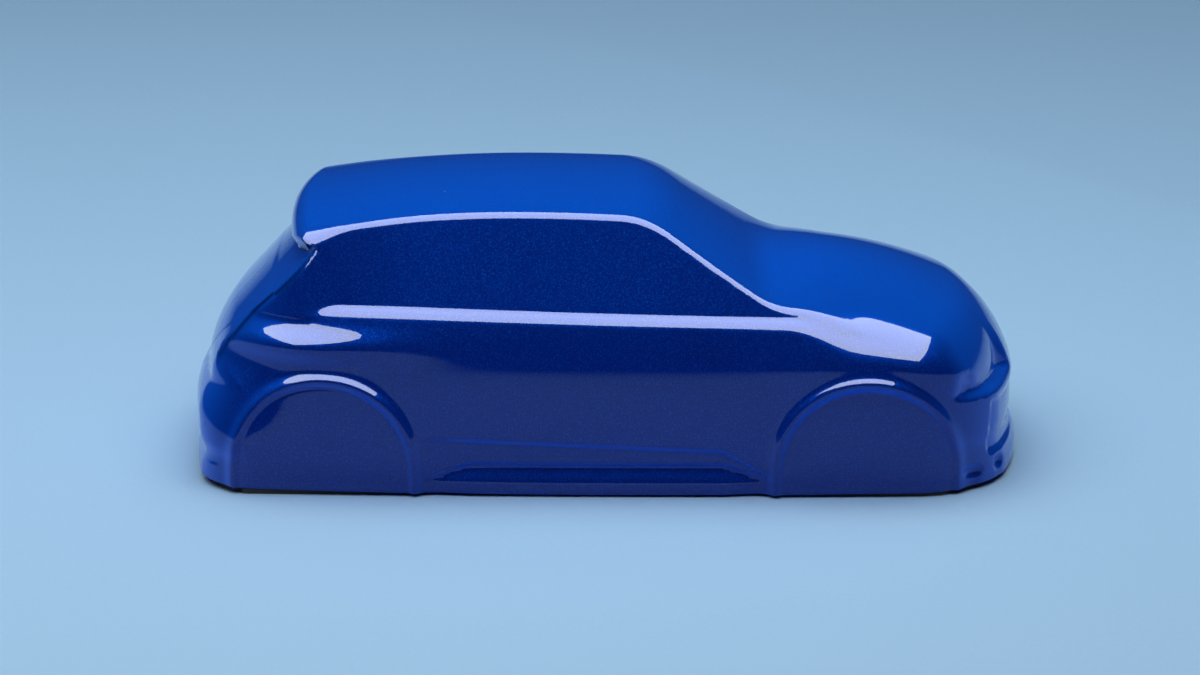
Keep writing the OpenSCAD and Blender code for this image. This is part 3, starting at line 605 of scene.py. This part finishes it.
# Cross recess of a screw head: two bars about a centre
def crossGroup():
    group, given, out = newGroup(
        "crossRecess", [("Centre", "NodeSocketVector", None), ("Half Width", "NodeSocketFloat", 0.0003),
                        ("Half Length", "NodeSocketFloat", 0.0015)],
        [("Mask", "NodeSocketFloat")])
    nodes, links = group.nodes, group.links
    coords = nodes.new("ShaderNodeTexCoord")
    offset = nodes.new("ShaderNodeVectorMath")
    offset.operation = "SUBTRACT"
    away = nodes.new("ShaderNodeVectorMath")
    away.operation = "ABSOLUTE"
    split = nodes.new("ShaderNodeSeparateXYZ")
    links.new(coords.outputs["Object"], offset.inputs[0])
    links.new(given.outputs["Centre"], offset.inputs[1])
    links.new(offset.outputs["Vector"], away.inputs[0])
    links.new(away.outputs["Vector"], split.inputs["Vector"])
    either = nodes.new("ShaderNodeMath")
    either.operation = "MAXIMUM"
    for slot, (across, along) in enumerate((("X", "Y"), ("Y", "X"))):
        bar = nodes.new("ShaderNodeMath")
        bar.operation = "MULTIPLY"
        for side, (axis, limit) in enumerate(((across, "Half Width"), (along, "Half Length"))):
            below = nodes.new("ShaderNodeMath")
            below.operation = "LESS_THAN"
            links.new(split.outputs[axis], below.inputs[0])
            links.new(given.outputs[limit], below.inputs[1])
            links.new(below.outputs["Value"], bar.inputs[side])
        links.new(bar.outputs["Value"], either.inputs[slot])
    links.new(either.outputs["Value"], out.inputs["Mask"])
    return group


cross = crossGroup()
dust = dustGroup()
flakes = flakeGroup()


def placeGroup(nodes, group, **values):
    node = nodes.new("ShaderNodeGroup")
    node.node_tree = group
    for label, value in values.items():
        node.inputs[label.replace("_", " ")].default_value = value
    return node


# Mixes two colours, each a fixed one or a socket; 6, 7 and 2 are the colour sockets of a Mix node
def mixColour(nodes, links, mask, first, second):
    node = nodes.new("ShaderNodeMix")
    node.data_type = "RGBA"
    links.new(mask, node.inputs[0])
    for socket, value in ((node.inputs[6], first), (node.inputs[7], second)):
        if isinstance(value, tuple):
            socket.default_value = value
        else:
            links.new(value, socket)
    return node.outputs[2]


def paintMaterial():
    material, nodes, links, shader = newMaterial("metallicBluePaint")
    flake = placeGroup(nodes, flakes, Cell_Scale=paint["flakeScale"], Tilt=paint["flakeTilt"])
    specks = placeGroup(nodes, dust, Cell_Scale=paint["dustCells"], Spot_Size=paint["dustSize"])
    coords = nodes.new("ShaderNodeTexCoord")
    cloud = nodes.new("ShaderNodeTexNoise")
    cloud.inputs["Scale"].default_value = paint["cloudScale"]
    cloud.inputs["Detail"].default_value = paint["cloudDetail"]
    links.new(coords.outputs["Object"], cloud.inputs["Vector"])
    # painted light: the base is painted deep where it faces the eye and bright where it slants away, so that tops
    # such as the roof come out lighter as if lit from above
    facing = nodes.new("ShaderNodeLayerWeight")
    paintedSlantLight = nodes.new("ShaderNodeMapRange")
    paintedSlantLight.interpolation_type = "SMOOTHSTEP"
    paintedSlantLight.inputs["From Min"].default_value = paint["slantFrom"]
    paintedSlantLight.inputs["From Max"].default_value = paint["slantTo"]
    links.new(facing.outputs["Facing"], paintedSlantLight.inputs["Value"])
    base = mixColour(nodes, links, cloud.outputs["Fac"], paint["faceColour"], paint["faceCloud"])
    base = mixColour(nodes, links, paintedSlantLight.outputs["Result"], base, paint["paintedSlantLightColour"])
    base = mixColour(nodes, links, flake.outputs["Sparkle"], base, paint["flakeColour"])
    base = mixColour(nodes, links, specks.outputs["Mask"], base, paint["dustColour"])
    # painted shade: the tail's crease is painted dark and its coat dulled, for the shade in the crease
    crease = nodes.new("ShaderNodeAttribute")
    crease.attribute_name = "crease"
    base = mixColour(nodes, links, crease.outputs["Fac"], base, paint["paintedCreaseShadeColour"])
    links.new(base, shader.inputs["Base Color"])
    coat = nodes.new("ShaderNodeMapRange")
    coat.inputs["To Min"].default_value = paint["coat"]
    coat.inputs["To Max"].default_value = paint["creaseCoat"]
    links.new(crease.outputs["Fac"], coat.inputs["Value"])
    links.new(coat.outputs["Result"], shader.inputs["Coat Weight"])
    rough = nodes.new("ShaderNodeMapRange")
    rough.inputs["To Min"].default_value = paint["roughness"] - paint["roughSpread"]
    rough.inputs["To Max"].default_value = paint["roughness"] + paint["roughSpread"]
    links.new(cloud.outputs["Fac"], rough.inputs["Value"])
    links.new(rough.outputs["Result"], shader.inputs["Roughness"])
    links.new(flake.outputs["Normal"], shader.inputs["Normal"])
    shader.inputs["Metallic"].default_value = paint["metallic"]
    shader.inputs["Specular IOR Level"].default_value = 0.0
    shader.inputs["Coat Roughness"].default_value = paint["coatRough"]
    shader.inputs["Coat IOR"].default_value = paint["coatIor"]
    return material


shell.data.materials.append(paintMaterial())
print("paint done")


grain = {
    "scale": 900.0, "detail": 6.0, "darkShare": 0.7, "roughSpread": 0.1, "bumpStrength": 0.25, "bumpDepth": 0.0002,
    "dustColour": (0.3, 0.3, 0.3, 1), "dustCells": 90.0, "dustSize": 0.02,
    # painted shade: the near-black is for the shade inside a screw's cross recess
    "recessShadeColour": (0.03, 0.03, 0.03, 1), "slotDepth": 0.0006,
}


# Fine-grained plastic or plated steel with dust, and, where a recess is given, a sunk cross painted dark as shade
# in the recess
def grainyMaterial(name, colour, roughness, metallic=0.0, recess=None):
    material, nodes, links, shader = newMaterial(name)
    coords = nodes.new("ShaderNodeTexCoord")
    noise = nodes.new("ShaderNodeTexNoise")
    noise.inputs["Scale"].default_value = grain["scale"]
    noise.inputs["Detail"].default_value = grain["detail"]
    links.new(coords.outputs["Object"], noise.inputs["Vector"])
    specks = placeGroup(nodes, dust, Cell_Scale=grain["dustCells"], Spot_Size=grain["dustSize"])
    dark = tuple(grain["darkShare"] * c for c in colour) + (1,)
    tone = mixColour(nodes, links, noise.outputs["Fac"], dark, colour + (1,))
    tone = mixColour(nodes, links, specks.outputs["Mask"], tone, grain["dustColour"])
    bump = nodes.new("ShaderNodeBump")
    bump.inputs["Strength"].default_value = grain["bumpStrength"]
    bump.inputs["Distance"].default_value = grain["bumpDepth"]
    if recess is not None:
        slots = placeGroup(nodes, cross, Centre=recess)
        # painted shade: the cross is painted near-black for the shade in the recess
        tone = mixColour(nodes, links, slots.outputs["Mask"], tone, grain["recessShadeColour"])
        sunk = nodes.new("ShaderNodeBump")
        sunk.invert = True
        sunk.inputs["Distance"].default_value = grain["slotDepth"]
        links.new(slots.outputs["Mask"], sunk.inputs["Height"])
        links.new(sunk.outputs["Normal"], bump.inputs["Normal"])
    links.new(tone, shader.inputs["Base Color"])
    rough = nodes.new("ShaderNodeMapRange")
    rough.inputs["To Min"].default_value = roughness - grain["roughSpread"]
    rough.inputs["To Max"].default_value = roughness + grain["roughSpread"]
    links.new(noise.outputs["Fac"], rough.inputs["Value"])
    links.new(rough.outputs["Result"], shader.inputs["Roughness"])
    shader.inputs["Metallic"].default_value = metallic
    links.new(noise.outputs["Fac"], bump.inputs["Height"])
    links.new(bump.outputs["Normal"], shader.inputs["Normal"])
    return material


def setMaterial(node, material):
    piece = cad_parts[node]
    piece.data.materials.clear()
    piece.data.materials.append(material)


fittings = {
    "plateColour": (0.012, 0.012, 0.014), "plateRough": 0.55,
    "blockColour": (0.30, 0.30, 0.31), "blockRough": 0.6,
    "screwColour": (0.6, 0.6, 0.62), "screwRough": 0.35, "screwInset": 6.8,
}
setMaterial("base_plate", grainyMaterial("blackBase", fittings["plateColour"], fittings["plateRough"]))
blockGrey = grainyMaterial("greyBlock", fittings["blockColour"], fittings["blockRough"])
screwY = (form["discFace"] - form["wall"] - fittings["screwInset"]) * mm  # middle of the corner blocks
for i in range(1, 5):
    setMaterial(f"block_{i}", blockGrey)
    screwX = form["rearAxle" if i < 3 else "frontAxle"] * mm
    centre = (screwX, screwY if i % 2 == 0 else -screwY, 0.0)
    setMaterial(f"screw_{i}", grainyMaterial(
        f"platedSteel{i}", fittings["screwColour"], fittings["screwRough"], 1.0, centre))
print("plate, blocks and screws done")


stage = {
    "floorSize": 8.0, "floorColour": (0.28, 0.51, 0.78, 1), "floorRough": 0.9,
    "fibreScale": 700.0, "fibreShade": 0.94,
    "worldColour": (0.6, 0.68, 0.8, 1), "worldLight": 0.02,
}
# The overhead box lights the paint; its twin of the same size, a little lower and further
# forward, is seen only in reflections
softbox = {"size": (1.27, 0.80), "place": (-0.165, -0.06, 0.69), "aim": (-0.165, -0.06, 0.0),
           "power": 5.4, "colour": (1, 1, 1), "mirrored": False}
mirrorBox = {"size": (1.27, 0.80), "place": (-0.165, -0.24, 0.682), "aim": (-0.165, -0.24, 0.0),
             "power": 33.0, "colour": (0.93, 1.0, 0.88), "mirrored": True}
fillBox = {"size": (2.4, 2.0), "place": (0.0, 0.9, 1.9), "aim": (0.0, 0.2, 0.0),
           "power": 16.0, "colour": (1, 1, 1), "mirrored": False}
view = {"distance": 1.3, "azimuth": 0.7, "elevation": 16.5, "target": (-0.00187, 0.0, 0.0294),
        "lens": 146.18, "sensor": 36.0}


def addFloor():
    half = stage["floorSize"] / 2
    corners = np.array([[-half, -half, 0], [half, -half, 0], [half, half, 0], [-half, half, 0]]) / mm
    floor = meshPiece("paleFloor", corners, np.array([[0, 1, 2, 3]]), np.zeros((0, 3), int))
    material, nodes, links, shader = newMaterial("palePaper")
    coords = nodes.new("ShaderNodeTexCoord")
    fibre = nodes.new("ShaderNodeTexNoise")
    fibre.inputs["Scale"].default_value = stage["fibreScale"]
    links.new(coords.outputs["Object"], fibre.inputs["Vector"])
    shade = tuple(stage["fibreShade"] * c for c in stage["floorColour"][:3]) + (1,)
    tone = mixColour(nodes, links, fibre.outputs["Fac"], shade, stage["floorColour"])
    links.new(tone, shader.inputs["Base Color"])
    shader.inputs["Roughness"].default_value = stage["floorRough"]
    floor.data.materials.append(material)


def addLamp(name, settings):
    lamp = bpy.data.lights.new(name, "AREA")
    lamp.shape = "RECTANGLE"
    lamp.size, lamp.size_y = settings["size"]
    lamp.energy = settings["power"]
    lamp.color = settings["colour"]
    holder = bpy.data.objects.new(name, lamp)
    holder.location = settings["place"]
    way = Vector(settings["aim"]) - Vector(settings["place"])
    holder.rotation_euler = way.to_track_quat("-Z", "Y").to_euler()
    holder.visible_glossy = settings["mirrored"]
    holder.visible_diffuse = not settings["mirrored"]
    bpy.context.scene.collection.objects.link(holder)


def addCamera():
    a, e = math.radians(view["azimuth"]), math.radians(view["elevation"])
    back = Vector((math.sin(a) * math.cos(e), -math.cos(a) * math.cos(e), math.sin(e)))
    lens = bpy.data.cameras.new("photoView")
    lens.lens = view["lens"]
    lens.sensor_width = view["sensor"]
    camera = bpy.data.objects.new("photoView", lens)
    camera.location = Vector(view["target"]) + back * view["distance"]
    camera.rotation_euler = (-back).to_track_quat("-Z", "Y").to_euler()
    bpy.context.scene.collection.objects.link(camera)
    bpy.context.scene.camera = camera


addFloor()
addLamp("overheadSoftbox", softbox)
addLamp("mirroredSoftbox", mirrorBox)
addLamp("wideFill", fillBox)
addCamera()
world = bpy.data.worlds.new("studio")
world.use_nodes = True
background = world.node_tree.nodes["Background"]
background.inputs["Color"].default_value = stage["worldColour"]
background.inputs["Strength"].default_value = stage["worldLight"]
bpy.context.scene.world = world
bpy.context.scene.view_settings.view_transform = "Standard"
print("stage done")
